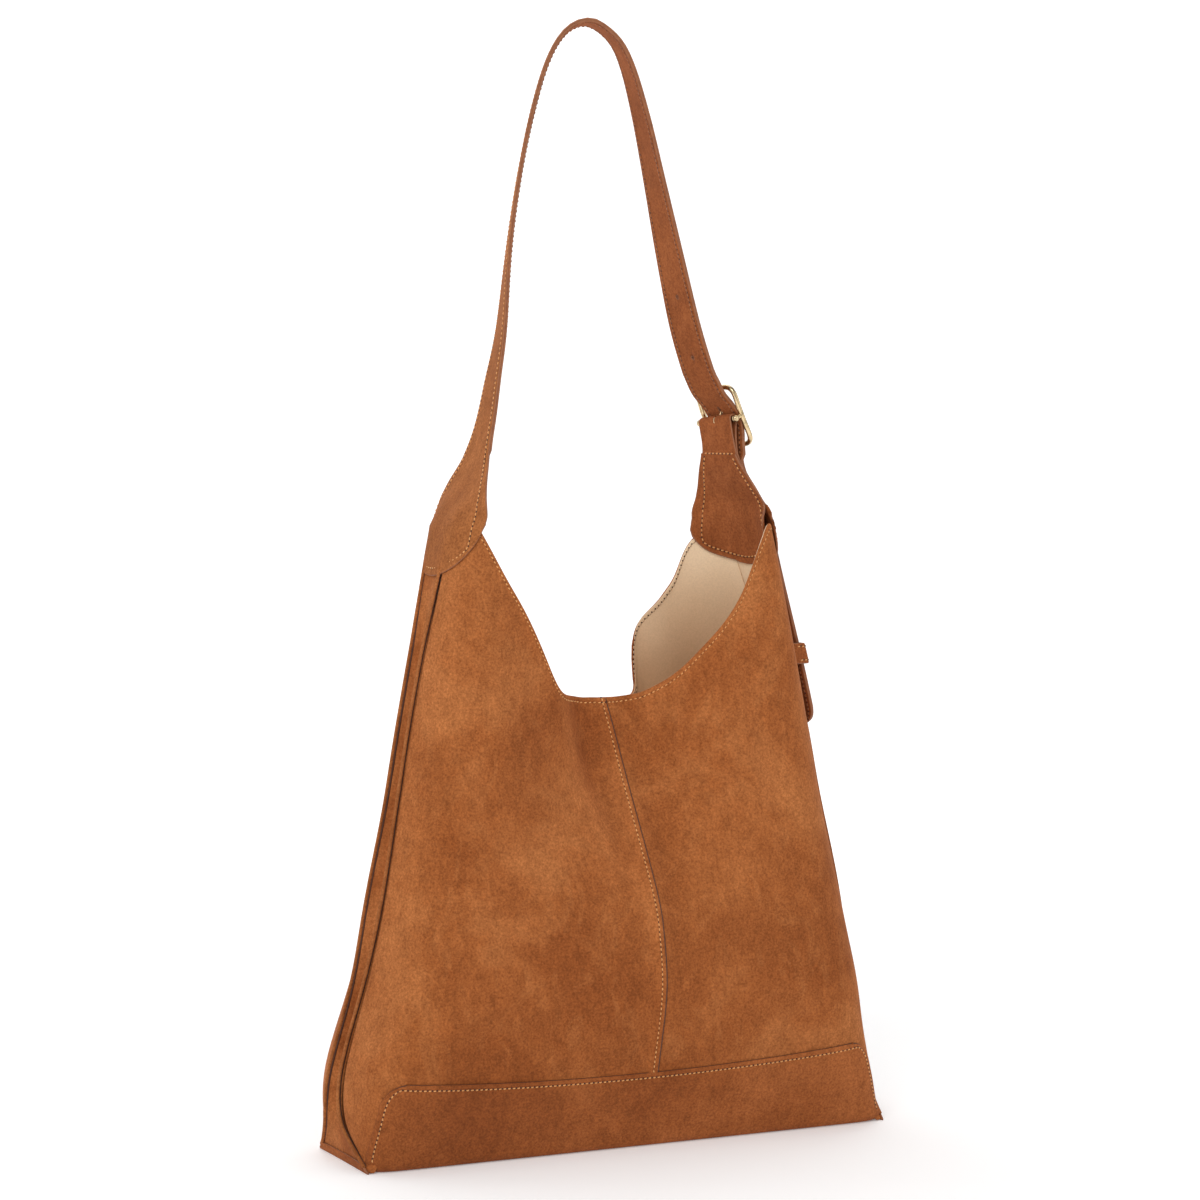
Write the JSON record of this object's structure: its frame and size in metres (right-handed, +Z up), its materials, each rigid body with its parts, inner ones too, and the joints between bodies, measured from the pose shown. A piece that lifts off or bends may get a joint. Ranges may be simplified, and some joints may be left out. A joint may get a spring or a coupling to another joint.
{
  "type": "hobo bag",
  "caption": "Slouchy suede shoulder bag with seamed panels, narrow side gussets, a stiffened base band, and a tall strap with a brass centre-bar buckle, keeper and magnetic snap.",
  "frame": {"origin": "On the floor under the middle of the bag's base, midway between front and back.", "axes": "+Z up along the upright strap, the front panel with the curved centre seam towards -Y, the buckle towards +X."},
  "size_m": [0.4299, 0.134, 0.7985],
  "materials": {
    "suede": "tan suede with a soft nap",
    "welt": "tan suede piping",
    "lining": "matt beige lining",
    "board": "pressed fibre board",
    "brass": "polished pale brass"
  },
  "bodies": {
    "bag": {"back_panel_left": "suede", "back_panel_right": "suede", "base_band": "suede", "base_board": "board", "front_panel_left": "suede", "front_panel_right": "suede", "gusset_left": "suede", "gusset_right": "suede", "keeper_loop": "suede", "lining_back": "lining", "lining_base": "lining", "lining_front": "lining", "lining_gusset_left": "lining", "lining_gusset_right": "lining", "slip_pocket": "lining", "snap_back": "brass", "snap_front": "brass", "strap_end_inner_left": "suede", "strap_end_inner_right": "suede", "strap_end_outer_left": "suede", "strap_end_outer_right": "suede", "tail_inner": "suede", "tail_outer": "suede", "welt_back_left": "welt", "welt_back_right": "welt", "welt_front_left": "welt", "welt_front_right": "welt"},
    "strap": {"strap_outer": "suede", "strap_inner": "suede", "chape": "suede"},
    "buckle_frame": {"buckle_frame": "brass"},
    "prong": {"buckle_prong": "brass"}
  },
  "joints": [
    {"name": "strap_swing", "type": "hinge", "parent": "bag", "child": "strap", "pos_m": [0, 0, 0.49], "axis": [1, 0, 0], "range_deg": [-70, 70]},
    {"name": "buckle_tilt", "type": "hinge", "parent": "strap", "child": "buckle_frame", "pos_m": [0.0878, 0, 0.5145], "axis": [-0.1475, 0.9871, -0.0626], "range_deg": [-2, 2]},
    {"name": "prong_tilt", "type": "hinge", "parent": "buckle_frame", "child": "prong", "pos_m": [0.0878, 0, 0.5145], "axis": [-0.1475, 0.9871, -0.0626], "range_deg": [0, 6]}
  ]
}
